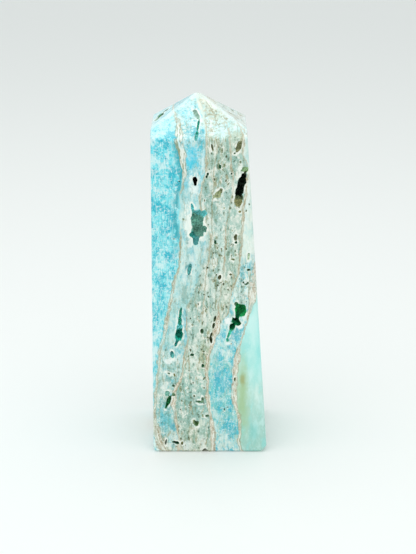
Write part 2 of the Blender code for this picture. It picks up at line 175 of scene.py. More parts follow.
# Each hollow is a wall colour and a chain of lobes. A lobe is (u, z, half width, half
# height, lean in degrees, depth): u is the distance across its face from the axis (X on
# the front and back, Y on the sides), z its height, and a positive lean tips its top
# towards +u.
FRONT_HOLLOWS = [
    (SHADE_BLACK_GREEN, [(-4.1, 78.5, 0.66, 0.75, 0, 3.4), (-4.0, 77.6, 0.42, 0.8, 5, 3.0)]),
    (SOFT_TEAL, [
        (-3.5, 68.4, 1.6, 1.8, 0, 2.6), (-1.95, 69.1, 0.95, 0.75, -15, 2.2),
        (-4.8, 70.6, 0.5, 1.4, -10, 1.4),
    ]),
    (GREY_TEAL, [(-3.5, 66.6, 1.7, 2.6, 0, 3.0), (-4.1, 66.4, 1.1, 3.6, 0, 2.6)]),
    (SLATE_TEAL, [(-3.3, 64.6, 1.7, 2.0, 0, 3.0), (-1.8, 64.8, 1.0, 1.1, 0, 2.2)]),
    (TEAL, [(-4.8, 63.3, 1.0, 0.85, 20, 2.2)]),
    (DUSK_TEAL, [(-3.85, 61.9, 0.7, 1.6, 6, 1.4)]),
    (DUSK_TEAL, [(-5.7, 53.4, 0.55, 1.6, 8, 0.8)]),
    (SEA_TEAL, [(-8.2, 41.0, 0.42, 1.6, 8, 1.6), (-8.4, 38.4, 0.5, 1.4, 4, 1.8)]),
    (SOFT_TEAL, [(-8.5, 36.4, 0.85, 1.6, 0, 1.6)]),
    (DEEP_TEAL, [(-8.65, 34.4, 1.0, 1.6, 8, 3.2)]),
    (TEAL, [(-9.35, 32.4, 0.46, 1.5, 24, 1.4)]),
    (LEAF_GREEN, [(8.45, 41.8, 1.5, 1.9, 0, 3.4)]),
    (JADE, [
        (7.6, 40.0, 0.5, 0.9, 20, 3.4), (7.3, 38.4, 1.4, 0.95, 35, 4.0),
        (6.1, 37.0, 0.8, 1.2, 15, 3.4),
    ]),
    (PIT_GREEN, [(7.3, 43.6, 0.6, 0.7, 0, 1.4)]),
    (GREEN_TEAL, [(5.25, 34.9, 0.42, 1.5, 22, 1.3), (4.8, 33.2, 0.5, 0.6, 0, 0.9)]),
    (FERN, [(9.2, 81.3, 1.15, 1.0, 15, 0.9)]),
    (DARK_OLIVE, [(8.95, 79.3, 0.9, 1.5, 22, 3.2)]),
    (SHADE_BLACK_GREEN, [(8.55, 77.8, 1.15, 2.0, 20, 4.6), (7.95, 75.5, 1.05, 1.9, 12, 4.8)]),
    (DARK_OLIVE, [(7.75, 73.8, 0.95, 1.3, 0, 2.2)]),
    (BROWN, [(7.65, 72.5, 0.9, 1.4, 0, 1.8)]),
    (OLIVE, [(7.7, 87.7, 0.64, 1.6, 18, 1.3)]),
    (OLIVE, [(0.55, 87.4, 0.3, 1.0, -12, 1.3)]),
    (OLIVE, [(2.9, 75.5, 0.55, 0.75, 15, 1.2)]),
    (MOSS, [(2.1, 74.4, 0.92, 1.15, 18, 1.1)]),
    (DARK_GREEN, [
        (-0.6, 80.1, 0.4, 0.5, 0, 1.1), (-1.0, 79.3, 0.35, 0.35, 0, 0.9),
        (2.7, 82.1, 0.34, 0.5, 0, 0.9),
    ]),
    (PIT_GREEN, [(5.7, 80.2, 0.34, 0.34, 0, 0.8), (6.6, 85.7, 0.36, 0.3, 0, 0.7)]),
    (BROWN, [(8.0, 69.7, 0.42, 0.34, 0, 0.8)]),
    (OLIVE, [(6.9, 62.5, 0.58, 1.1, 0, 1.4)]),
    (MOSS, [(6.3, 56.3, 0.65, 0.4, 0, 1.1)]),
    (DARK_GREEN, [(7.0, 61.1, 0.5, 0.45, 0, 1.1), (1.4, 61.2, 0.3, 0.5, 0, 0.9)]),
    (OLIVE, [(2.6, 51.3, 0.5, 0.75, 10, 1.4), (5.6, 52.1, 0.4, 0.36, 0, 0.8)]),
    (FAINT_GREEN, [(10.5, 57.3, 0.36, 1.3, 4, 0.5)]),
    (PIT_GREEN, [
        (10.35, 53.4, 0.62, 0.36, 0, 1.0), (9.15, 49.8, 0.34, 0.45, 20, 0.8),
        (9.8, 49.3, 0.6, 0.32, 0, 0.9), (10.4, 49.7, 0.34, 0.4, -20, 0.8),
    ]),
    (DARK_OLIVE, [
        (1.25, 39.2, 0.3, 1.0, 14, 1.0), (0.85, 37.3, 0.32, 0.75, 8, 1.0),
        (0.35, 34.9, 0.3, 0.6, 12, 1.0), (0.25, 33.2, 0.4, 0.95, -5, 1.5),
    ]),
    (PIT_GREEN, [(-2.3, 35.7, 0.48, 0.75, 0, 1.4)]),
    (DARK_GREEN, [(-5.0, 28.9, 0.5, 0.36, 0, 1.0), (-2.1, 25.7, 0.38, 0.55, 0, 1.1)]),
    (PIT_GREEN, [(4.0, 12.7, 0.26, 0.4, 0, 0.5), (4.9, 13.4, 0.3, 0.26, 0, 0.5)]),
    (BROWN, [(6.9, 21.7, 0.3, 0.75, 0, 0.9), (-10.0, 22.9, 0.28, 0.6, -15, 0.8)]),
    (SKY_TEAL, [(-10.6, 29.0, 0.5, 1.2, -5, 1.2)]),
    (PIT_GREEN, [
        (-11.7, 23.5, 0.65, 0.4, 35, 0.8), (-10.3, 19.8, 0.4, 0.4, 0, 0.9),
        (-10.2, 17.0, 0.45, 0.34, 0, 0.9),
    ]),
    (FOREST, [(-11.7, 15.3, 0.58, 1.9, 20, 1.9), (-12.35, 13.5, 0.36, 0.75, 15, 1.2)]),
    (GREY_TEAL, [(-12.0, 17.5, 0.6, 0.9, 10, 0.7)]),
    (FERN, [(-3.9, 8.5, 0.66, 0.95, -12, 2.2)]),
    (MOSS, [(-4.5, 9.0, 0.5, 0.9, 0, 0.8)]),
    (PIT_GREEN, [
        (-2.8, 15.1, 0.9, 0.34, 6, 0.9), (-2.15, 15.8, 0.36, 0.9, -4, 0.9),
        (-0.8, 10.9, 0.6, 0.46, -20, 1.0),
    ]),
    (DARK_GREEN, [(-9.8, 2.9, 0.78, 0.42, 15, 1.6)]),
    (DARK_OLIVE, [(-12.5, 3.0, 0.28, 1.1, 8, 1.3)]),
    (BROWN, [(-7.9, 2.7, 0.34, 0.6, 0, 0.9)]),
    (OLIVE, [(-1.5, 0.2, 0.9, 0.8, 0, 1.8)]),
]

FRONT_FACET_HOLLOWS = [
    (MINT_GREY, [(-3.7, 95.1, 0.62, 2.0, -24, 1.0)]),
    (SEA_TEAL, [(-3.25, 92.6, 0.36, 2.3, 6, 1.4)]),
    (SKY_TEAL, [(-3.65, 90.3, 0.46, 1.4, 8, 0.9)]),
]

LEFT_FACET_HOLLOWS = [
    (PIT_GREEN, [
        (-2.2, 92.9, 1.6, 0.8, 0, 1.4), (0.6, 93.6, 2.6, 1.2, 0, 1.9),
        (2.4, 94.7, 1.2, 0.8, 0, 1.4),
    ]),
]

RIGHT_FACET_HOLLOWS = [
    (OLIVE, [(-2.6, 94.8, 0.6, 0.8, 10, 1.2), (3.9, 94.3, 0.9, 0.6, 0, 1.3)]),
]

BACK_FACET_HOLLOWS = [
    (TEAL, [
        (-6.2, 92.6, 0.6, 1.3, 25, 1.6), (-5.3, 94.4, 0.45, 0.9, 20, 1.2),
        (1.3, 94.6, 0.6, 0.7, 0, 1.1),
    ]),
]

BACK_HOLLOWS = [
    (SHADE_BLACK_GREEN, [
        (1.6, 71.8, 0.9, 2.2, -18, 3.2), (2.2, 68.6, 1.5, 2.4, -8, 4.0),
        (2.9, 65.0, 1.1, 2.0, -5, 3.2), (3.9, 66.6, 0.8, 0.8, 0, 2.0),
        (3.2, 62.4, 0.5, 1.3, 0, 1.8),
    ]),
    (GREY_TEAL, [
        (-4.9, 29.8, 1.5, 1.7, 15, 3.8), (-3.6, 31.5, 0.9, 1.0, 0, 2.6),
        (-5.6, 27.2, 0.8, 1.4, 10, 2.4),
    ]),
    (OLIVE, [(-1.2, 84.6, 0.7, 1.9, 12, 2.2), (-1.7, 81.9, 0.4, 1.0, 10, 1.4)]),
    (DARK_GREEN, [
        (-1.4, 50.2, 0.5, 2.4, 8, 2.4), (-1.9, 47.0, 0.8, 1.6, 5, 2.8),
        (-2.2, 44.6, 0.4, 1.2, 8, 1.5),
    ]),
    (DARK_GREEN, [(7.4, 46.4, 1.1, 1.2, 0, 2.8), (6.6, 44.7, 0.7, 0.9, 0, 2.0)]),
    (OLIVE, [
        (0.4, 77.9, 0.5, 0.7, 0, 1.2), (4.6, 76.4, 0.6, 0.5, 0, 1.2),
        (-3.1, 73.8, 0.5, 0.8, 0, 1.3), (5.6, 59.2, 0.6, 0.8, 0, 1.4),
        (1.0, 57.6, 0.5, 0.5, 0, 1.1), (-3.8, 56.0, 0.45, 0.9, 10, 1.2),
        (3.3, 52.8, 0.55, 0.45, 0, 1.1), (2.6, 38.9, 0.5, 0.7, 0, 1.3),
        (-0.6, 37.2, 0.6, 0.5, 0, 1.2),
    ]),
    (TEAL, [
        (1.2, 33.4, 0.5, 0.9, 0, 1.3), (5.0, 30.6, 0.6, 0.6, 0, 1.3),
        (1.9, 25.2, 0.7, 0.6, 0, 1.5), (-1.6, 22.0, 0.45, 0.8, -10, 1.2),
        (-7.1, 19.3, 0.6, 0.9, 0, 1.5), (0.6, 16.7, 0.6, 0.5, 0, 1.2),
        (4.0, 12.5, 0.8, 0.9, 0, 2.0), (-3.0, 9.4, 0.5, 0.6, 0, 1.2),
        (8.2, 7.6, 0.6, 1.2, 10, 1.6),
    ]),
]

LEFT_HOLLOWS = [
    (TEAL, [
        (6.2, 24.3, 0.6, 1.5, 10, 1.6), (5.4, 21.4, 0.4, 1.0, 10, 1.2),
        (8.6, 15.8, 0.8, 0.8, 0, 1.8), (3.1, 12.9, 0.5, 0.6, 0, 1.2),
        (7.0, 8.4, 0.9, 0.5, 0, 1.5), (-2.4, 6.6, 0.45, 0.7, 0, 1.1),
        (1.8, 63.2, 0.35, 0.8, 0, 1.0),
    ]),
]

RIGHT_HOLLOWS = [
    (DARK_GREEN, [
        (1.6, 78.2, 0.8, 1.9, 14, 2.6), (2.4, 75.2, 1.1, 1.5, 5, 3.0),
        (2.0, 72.7, 0.5, 1.1, 0, 1.6),
    ]),
    (OLIVE, [
        (-5.4, 66.3, 0.5, 1.1, 0, 1.3), (-7.2, 51.4, 0.6, 0.9, 0, 1.4),
        (-4.0, 47.8, 0.5, 0.5, 0, 1.1), (5.6, 58.9, 0.6, 0.6, 0, 1.2),
        (3.9, 41.2, 0.5, 1.0, -8, 1.3), (8.8, 33.4, 0.7, 1.4, -6, 1.8),
        (-2.2, 84.4, 0.5, 0.6, 0, 1.1),
    ]),
]

# Each face: the direction it looks, the axis that u runs along, its hollows, and how many
# small pits it has.
FACES = [
    (FRONT, 0, FRONT_HOLLOWS, 84),
    ((0, -1, 1), 0, FRONT_FACET_HOLLOWS, 0),
    ((-1, 0, 1), 1, LEFT_FACET_HOLLOWS, 0),
    ((1, 0, 1), 1, RIGHT_FACET_HOLLOWS, 0),
    ((0, 1, 1), 0, BACK_FACET_HOLLOWS, 0),
    ((0, 1, 0), 0, BACK_HOLLOWS, 60),
    ((-1, 0, 0), 1, LEFT_HOLLOWS, 16),
    ((1, 0, 0), 1, RIGHT_HOLLOWS, 36),
]


def cells_of(points, size):
    """The cell of the given size that each point is in, and how far into it the point is."""
    cells = points / size
    low = np.floor(cells).astype(np.int32)
    return low, (cells - low).astype(np.float32)


class Lattice:
    """Smooth random values in space, from -1 to 1, repeating every SIDE cells."""

    SIDE = 32

    def __init__(self, seed):
        values = np.random.default_rng(seed).uniform(-1, 1, (self.SIDE,) * 3)
        self.values = values.astype(np.float32)

    def at(self, points, size):
        """The value at each point, with bumps of about the given size."""
        low, t = cells_of(points, size)
        t = t * t * (3 - 2 * t)
        total = np.zeros(len(points), np.float32)
        for corner in itertools.product((0, 1), repeat=3):
            i, j, k = ((low + corner) % self.SIDE).T
            share = np.ones(len(points), np.float32)
            for axis, step in enumerate(corner):
                share *= t[:, axis] if step else 1 - t[:, axis]
            total += share * self.values[i, j, k]
        return total


class Scatter:
    """Points scattered in space, one in each cell, repeating every SIDE cells."""

    SIDE = 24
    FAR = 9.0

    def __init__(self, seed):
        places = np.random.default_rng(seed).uniform(0, 1, (self.SIDE,) * 3 + (3,))
        self.places = places.astype(np.float32)

    def at(self, points, size):
        """How far each point is from the nearest scattered one, in cells of the size."""
        low, t = cells_of(points, size)
        nearest = np.full(len(points), self.FAR, np.float32)
        for step in itertools.product((-1, 0, 1), repeat=3):
            i, j, k = ((low + step) % self.SIDE).T
            gap = self.places[i, j, k] + np.array(step, np.float32) - t
            nearest = np.minimum(nearest, np.einsum("ij,ij->i", gap, gap))
        return np.sqrt(nearest)


class Crust:
    """The bumpy crystal crust that lines the hollows."""

    MEAN_GAP = 0.55

    def __init__(self, seed):
        self.swell, self.knobs, self.grains = Lattice(seed), Scatter(seed + 1), Scatter(seed + 2)

    def at(self, points):
        """How far the crust stands out of a smooth wall at each point."""
        height = SWELL_HEIGHT * self.swell.at(points, SWELL)
        height += KNOB_HEIGHT * (self.MEAN_GAP - self.knobs.at(points, KNOB))
        return height + GRAIN_HEIGHT * (self.MEAN_GAP - self.grains.at(points, GRAIN))


def polished_body(node):
    """The stone without its hollows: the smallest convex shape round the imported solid."""
    bm = bmesh.new()
    for vert in node.data.vertices:
        bm.verts.new(vert.co / MM)
    bmesh.ops.remove_doubles(bm, verts=bm.verts, dist=1e-4)
    hull = bmesh.ops.convex_hull(bm, input=bm.verts)
    spare = {item for item in hull["geom_interior"] if isinstance(item, bmesh.types.BMVert)}
    spare |= {vert for vert in bm.verts if not vert.link_faces}
    bmesh.ops.delete(bm, geom=list(spare), context="VERTS")
    flat = math.radians(FLAT_ANGLE)
    bmesh.ops.dissolve_limit(bm, angle_limit=flat, verts=bm.verts, edges=bm.edges)
    bmesh.ops.recalc_face_normals(bm, faces=bm.faces)
    return bm


def planes_of(bm):
    """Every face of the body as (outward normals, offsets, areas)."""
    normals = np.array([face.normal for face in bm.faces])
    offsets = np.array([face.normal.dot(face.calc_center_median()) for face in bm.faces])
    areas = np.array([face.calc_area() for face in bm.faces])
    return normals, offsets, areas


def face_plane(planes, towards):
    """The large polished face that looks most nearly the given way."""
    normals, offsets, areas = planes
    rise = normals[:, 2]
    wanted = np.abs(rise) < SIDE_RISE if towards[2] == 0 else rise > SIDE_RISE
    fit = normals[:, :2] @ np.array(towards[:2], float)
    best = np.argmax(np.where(wanted & (areas > LARGE_AREA), fit, -2))
    return Vector(normals[best]), offsets[best]


def depth_below_polish(points, planes):
    """How far inside the polished body each point lies."""
    normals, offsets, _ = planes
    depth = np.full(len(points), np.inf)
    for normal, offset in zip(normals, offsets):
        depth = np.minimum(depth, offset - points @ normal)
    return depth


def corners(bm):
    """The body's lowest and highest corner."""
    places = [vert.co for vert in bm.verts]
    return np.min(places, axis=0), np.max(places, axis=0)


def divide(bm):
    """Cuts the body's faces into cells."""
    low, high = corners(bm)
    for axis in range(3):
        normal = [0, 0, 0]
        normal[axis] = 1
        for place in np.arange(low[axis] + FIRST_CUT, high[axis], FACE_STEP):
            point = [0, 0, 0]
            point[axis] = place
            geometry = bm.verts[:] + bm.edges[:] + bm.faces[:]
            bmesh.ops.bisect_plane(bm, geom=geometry, plane_co=point, plane_no=normal)


def divide_near(bm, lobes):
    """Cuts the cells round the hollows finer."""
    centres = np.array([face.calc_center_median() for face in bm.faces])
    close = np.zeros(len(centres), bool)
    for lobe in lobes:
        gaps = np.linalg.norm(centres - lobe.place, axis=1)
        near = np.nonzero(gaps < lobe.reach + NEAR_HOLLOW)[0]
        close[near] |= lobe.distance(centres[near]) < lobe.rim + NEAR_RIM
    faces = [face for face, chosen in zip(bm.faces, close) if chosen]
    edges = list({edge for face in faces for edge in face.edges})
    bmesh.ops.subdivide_edges(bm, edges=edges, cuts=NEAR_CUTS, use_grid_fill=True)


class Lobe:
    """One rounded lobe of a hollow, on its face."""

    def __init__(self, plane, across, colour, row, rim=None):
        u, z, half_width, half_height, lean, depth = row
        normal, offset = plane
        place = Vector((0, 0, z))
        place[across] = u
        solve_for = 1 - across
        place[solve_for] = (offset - place.dot(normal)) / normal[solve_for]
        up = (Vector((0, 0, 1)) - normal * normal.z).normalized()
        side = Vector((0, 0, 0))
        side[across] = 1
        side = (side - normal * side.dot(normal)).normalized()
        tilt = math.radians(lean)
        long_way = up * math.cos(tilt) + side * math.sin(tilt)
        short_way = side * math.cos(tilt) - up * math.sin(tilt)
        self.place = np.array(place)
        self.axes = np.array([short_way, long_way, normal])
        self.radii = (half_width, half_height, depth)
        self.reach = max(self.radii) + LOBE_MARGIN
        width = min(half_width, FULL_CRUST)
        self.crust = width / FULL_CRUST
        self.rim = rim or FULL_RIM * width + LEAST_RIM
        self.colour = np.array(colour) / 255

    def distance(self, points):
        """About how far each point is outside the lobe, less than 0 inside it."""
        along = (points - self.place) @ self.axes.T
        half_width, half_height, depth = self.radii
        inwards = np.where(along[:, 2] > 0, LOBE_OUTSIDE, depth)
        share = np.abs(along / np.stack([
            np.full(len(points), half_width),
            np.full(len(points), half_height),
            inwards,
        ], axis=1))
        radius = np.sum(share ** LOBE_POWER, axis=1) ** (1 / LOBE_POWER)
        return (radius - 1) * min(self.radii)

    def rough_distance(self, points, crust):
        """The distance with the crust on the walls."""
        distance = self.distance(points)
        near = np.nonzero(np.abs(distance) < CRUST_REACH)[0]
        distance[near] += self.crust * crust.at(points[near])
        return distance


def pore_rows(towards, count, rng):
    """Small pits on the face that looks the given way."""
    rows = []
    for _ in range(count):
        u, z = rng.uniform(*PORE_ACROSS), rng.uniform(*PORE_HEIGHTS)
        half_width, half_height, depth = [rng.uniform(low, high) for low, high in PORE_SIZES]
        if towards == FRONT and rng.uniform() > LOOSE_PORES:
            left, right = (np.interp(z, *zip(*SEAMS[name])) for name in ("lower_left", "wedge"))
            share = rng.integers(1, PORE_STRINGS) / PORE_STRINGS
            u = left + share * (right - left) + rng.normal(0, STRING_SPREAD)
        rows.append((u, z, half_width, half_height, rng.uniform(*PORE_LEANS), depth))
    return rows


def all_lobes(planes):
    lobes = []
    for towards, across, hollows, _ in FACES:
        plane = face_plane(planes, towards)
        for colour, rows in hollows:
            lobes += [Lobe(plane, across, colour, row) for row in rows]
    rng = np.random.default_rng(PORE_SEED)
    for towards, across, _, count in FACES:
        plane = face_plane(planes, towards)
        for row in pore_rows(towards, count, rng):
            lobes.append(Lobe(plane, across, PORE_GREEN, row, rim=LEAST_RIM))
    return lobes


def smooth_union(a, b, width):
    blend = np.clip(0.5 + 0.5 * (b - a) / width, 0, 1)
    return b + (a - b) * blend - width * blend * (1 - blend)


class HollowGrid:
    """The distance to the hollows' walls on a regular grid round the stone."""

    FAR = 2.0

    def __init__(self, low, high):
        self.low = low - GRID_MARGIN
        shape = np.ceil((high + GRID_MARGIN - self.low) / VOXEL).astype(int)
        self.values = np.full(shape, self.FAR, np.float32)

    def block(self, centre, reach):
        first = np.floor((centre - reach - self.low) / VOXEL).astype(int)
        last = np.ceil((centre + reach - self.low) / VOXEL).astype(int) + 1
        first = np.clip(first, 0, self.values.shape)
        last = np.clip(last, 0, self.values.shape)
        return tuple(slice(a, b) for a, b in zip(first, last))

    def points(self, block):
        axes = [np.arange(s.start, s.stop) * VOXEL + low for s, low in zip(block, self.low)]
        return np.stack(np.meshgrid(*axes, indexing="ij"), axis=-1).reshape(-1, 3)

    def add(self, lobe, crust):
        block = self.block(lobe.place, lobe.reach)
        shape = self.values[block].shape
        distance = lobe.rough_distance(self.points(block), crust).reshape(shape)
        self.values[block] = smooth_union(self.values[block], distance, LOBE_BLEND)

    def mesh(self):
        grid = openvdb.FloatGrid(self.FAR)
        grid.copyFromArray(self.values)
        grid.transform = openvdb.createLinearTransform(voxelSize=VOXEL)
        points, triangles, quads = grid.convertToPolygons(isovalue=0.0, adaptivity=ADAPTIVITY)
        return points + self.low, triangles, quads


def new_object(name, data):
    made = bpy.data.objects.new(name, data)
    bpy.context.scene.collection.objects.link(made)
    return made


def islands(bm):
    """The separate shapes in a mesh, each as a list of its points' numbers."""
    bm.verts.ensure_lookup_table()
    unseen = set(range(len(bm.verts)))
    while unseen:
        start = unseen.pop()
        island, edge = [start], [bm.verts[start]]
        while edge:
            vert = edge.pop()
            for link in vert.link_edges:
                other = link.other_vert(vert)
                if other.index in unseen:
                    unseen.discard(other.index)
                    island.append(other.index)
                    edge.append(other)
        yield island


def hollow_cutter(grid, planes):
    """The hollows as closed shapes, without those that don't reach the surface."""
    points, triangles, quads = grid.mesh()
    mesh = bpy.data.meshes.new("hollows")
    mesh.from_pydata(points.tolist(), [], triangles.tolist() + quads.tolist())
    bm = bmesh.new()
    bm.from_mesh(mesh)
    depth = depth_below_polish(points, planes)
    spare = []
    for island in islands(bm):
        depths = depth[island]
        cuts = depths.min() <= -LEAST_OPENING and depths.max() >= LEAST_DEPTH
        closed = all(edge.is_manifold for i in island for edge in bm.verts[i].link_edges)
        if not (cuts and closed):
            spare += [bm.verts[i] for i in island]
    bmesh.ops.delete(bm, geom=spare, context="VERTS")
    bmesh.ops.recalc_face_normals(bm, faces=bm.faces)
    bm.to_mesh(mesh)
    bm.free()
    return new_object("hollows", mesh)


def carve(body, cutter):
    """Cuts the hollows into the body and removes the cutter."""
    cut = body.modifiers.new("hollows", "BOOLEAN")
    cut.operation = "DIFFERENCE"
    cut.solver = "MANIFOLD"
    cut.object = cutter
    graph = bpy.context.evaluated_depsgraph_get()
    carved = bpy.data.meshes.new_from_object(body.evaluated_get(graph))
    body.modifiers.clear()
    body.data = carved
    bpy.data.objects.remove(cutter)


def mesh_points(mesh):
    flat = np.empty(len(mesh.vertices) * 3)
    mesh.vertices.foreach_get("co", flat)
    return flat.reshape(-1, 3)


def store(mesh, name, values, kind="FLOAT", field="value"):
    layer = mesh.attributes.new(name, kind, "POINT")
    layer.data.foreach_set(field, np.ascontiguousarray(values, np.float32).ravel())


def arris_share(points, planes):
    """1 on the ridges between the large polished faces, falling to 0 beside them."""
    normals, offsets, areas = planes
    large = areas > LARGE_AREA
    gaps = np.sort(offsets[large][:, None] - normals[large] @ points.T, axis=0)
    return np.clip(1 - gaps[1] / ARRIS_WIDTH, 0, 1)


def mark_surface(mesh, lobes, planes):
    """Stores what the material needs at each point.

    depth: how deep it lies under the polish. rim: 1 at a hollow's edge, 0 away from it.
    arris: 1 on the ridges of the polished shape. wall: the colour of the nearest hollow.
    """
    points = mesh_points(mesh)
    depth = np.clip(depth_below_polish(points, planes), 0, None)
    nearest = np.full(len(points), np.inf)
    rim = np.zeros(len(points))
    colour = np.tile(np.array(GREY_TEAL) / 255, (len(points), 1))
    for lobe in lobes:
        offsets = np.abs(points - lobe.place)
        close = np.nonzero(np.all(offsets < lobe.reach + lobe.rim, axis=1))[0]
        distance = lobe.distance(points[close])
        rim[close] = np.maximum(rim[close], 1 - distance / lobe.rim)
        won = distance < nearest[close]
        nearest[close[won]] = distance[won]
        colour[close[won]] = lobe.colour
    store(mesh, "depth", depth)
    store(mesh, "rim", np.clip(rim, 0, 1))
    store(mesh, "arris", arris_share(points, planes))
    colours = np.concatenate([colour ** GAMMA, np.ones((len(points), 1))], axis=1)
    store(mesh, "wall", colours, "FLOAT_COLOR", "color")


def build_tower():
    bm = polished_body(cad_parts["tower"])
    planes = planes_of(bm)
    lobes = all_lobes(planes)
    grid = HollowGrid(*corners(bm))
    crust = Crust(CRUST_SEED)
    for lobe in lobes:
        grid.add(lobe, crust)
    cutter = hollow_cutter(grid, planes)

    divide(bm)
    divide_near(bm, lobes)
    mesh = bpy.data.meshes.new("stone")
    bm.to_mesh(mesh)
    bm.free()
    tower = new_object("stone", mesh)
    carve(tower, cutter)
    mark_surface(tower.data, lobes, planes)
    for vert in tower.data.vertices:
        vert.co *= MM
    tower.data.shade_smooth()
    tower.data.set_sharp_from_angle(angle=math.radians(SHARP_ANGLE))
    return tower


def daylight(red, green, blue):
    """A colour as it looks in the photograph's daylight, as a linear RGBA."""
    return tuple((value / 255) ** GAMMA for value in (red, green, blue)) + (1,)


# Half width of each seam's tan core, as (height, half width).
SEAM_WIDTHS = {
    "left": [
        (0, 1.3), (6, 1.1), (12, 0.35), (20, 0.3), (30, 0.5), (40, 0.42), (50, 0.3),
        (60, 0.13), (76, 0.13), (80, 0.5), (86, 0.9), (92, 0.9), (95, 0.35), (100, 0.1),
    ],
    "lower_left": [
        (0, 0.1), (8, 0.25), (13, 0.6), (19, 0.5), (23, 0.2), (32, 0.15), (42, 0.06),
        (50, 0), (74, 0), (80, 0), (100, 0),
    ],
    "middle": [
        (0, 0), (30, 0.03), (50, 0.08), (70, 0.15), (86, 0.2), (90, 0.12), (93, 0.06),
        (100, 0.03),
    ],
    "pink": [
        (0, 0.75), (8, 0.6), (13, 0.3), (20, 0.24), (30, 0.4), (38, 0.55), (42, 0.12), (46, 0.06),
        (55, 0.08), (72, 0.08), (88, 0.1), (94, 0.06), (100, 0.05),
    ],
    "wedge": [
        (0, 0), (36, 0), (42, 0.1), (48, 0.14), (55, 0.18), (70, 0.2), (78, 0.14),
        (82, 0.05), (86, 0.1), (90, 0.12), (94, 0.06), (100, 0.05),
    ],
    "right": [
        (0, 0.22), (8, 0.35), (14, 0.55), (20, 0.75), (28, 0.7), (33, 0.2), (40, 0.25),
        (44, 0.8), (50, 1.3), (54, 0.9), (58, 0.1), (100, 0),
    ],
}

# The main colour of each seam.
SEAM_TINTS = {
    "left": (188, 194, 170),
    "lower_left": (204, 184, 156),
    "middle": (190, 186, 156),
    "pink": (206, 190, 166),
    "wedge": (192, 184, 154),
    "right": (212, 200, 178),
}

# The stretch of a seam that is cream with olive flecks, from one height to the other.
CREAM_STRETCHES = {"left": (78.5, 94.0)}

# Fine lines inside the layers, as (height, x).
FINE_LINES = [
    [
        (52, 0.9), (56, 0.5), (60, 0.35), (66, 0.5), (74, 0.65), (80, 1.1), (86, 1.7),
        (90, 1.6), (94, 1.4), (97, -0.4), (100, -3.4),
    ],
    [(2, -5.0), (8, -5.2), (13, -5.3), (20, -5.5), (24, -5.9), (30, -6.1), (34, -6.3)],
]

# The colour of each layer from the foot to the tip, left to right: (height, colour). Above the
# shoulder most layers turn paler: partly the facets' own paler tone, partly painted light, because
# the facets face up to the lamp.
LAYERS = [
    [
        (0, (196, 228, 218)), (12, (156, 218, 218)), (30, (134, 219, 226)),
        (50, (148, 230, 236)), (75, (122, 225, 234)), (88, (116, 225, 238)),
        (92, (184, 238, 242)), (100, (184, 240, 242)),
    ],
    [
        (0, (222, 224, 205)), (4, (220, 226, 210)), (7, (160, 206, 200)),
        (12, (144, 200, 196)), (15, (148, 184, 170)), (23, (172, 204, 192)),
        (27, (176, 214, 206)), (34, (170, 218, 214)), (45, (180, 223, 217)),
        (58, (202, 232, 226)), (68, (206, 232, 226)), (74, (156, 212, 214)),
        (79, (148, 217, 228)), (86, (132, 218, 234)), (89, (176, 233, 240)),
        (93, (208, 242, 240)), (96, (160, 228, 236)), (100, (196, 236, 232)),
    ],
    [
        (0, (196, 208, 188)), (7, (162, 192, 176)), (12, (152, 190, 178)),
        (18, (140, 186, 174)), (26, (190, 214, 198)), (34, (178, 208, 196)),
        (44, (172, 202, 190)), (52, (188, 214, 202)), (60, (192, 220, 208)),
        (100, (210, 230, 220)),
    ],
    [
        (0, (194, 206, 188)), (6, (172, 199, 184)), (12, (154, 196, 186)),
        (22, (146, 192, 178)), (28, (188, 198, 168)), (33, (190, 210, 190)),
        (45, (196, 216, 204)), (60, (202, 226, 216)), (75, (160, 195, 185)),
        (88, (184, 206, 188)), (90.5, (206, 240, 236)), (94, (210, 240, 234)),
        (100, (222, 232, 214)),
    ],
    [
        (0, (206, 216, 198)), (36, (196, 208, 188)), (45, (188, 206, 188)),
        (58, (190, 212, 196)), (72, (164, 200, 190)), (84, (172, 204, 192)),
        (90, (186, 204, 184)), (91.5, (208, 240, 236)), (96, (214, 238, 230)),
        (100, (226, 238, 226)),
    ],
    [
        (0, (214, 232, 224)), (8, (146, 204, 196)), (14, (124, 202, 198)),
        (21, (112, 204, 204)), (26, (124, 202, 196)), (33, (200, 234, 228)),
        (44, (208, 230, 217)), (53, (212, 230, 218)), (60, (224, 238, 226)),
        (75, (232, 242, 232)), (90, (224, 240, 232)), (100, (216, 238, 230)),
    ],
    [
        (0, (160, 206, 192)), (8, (166, 212, 200)), (18, (186, 226, 214)),
        (25, (180, 234, 226)), (38, (188, 240, 234)), (50, (206, 242, 234)),
        (60, (224, 242, 234)), (100, (224, 242, 236)),
    ],
]

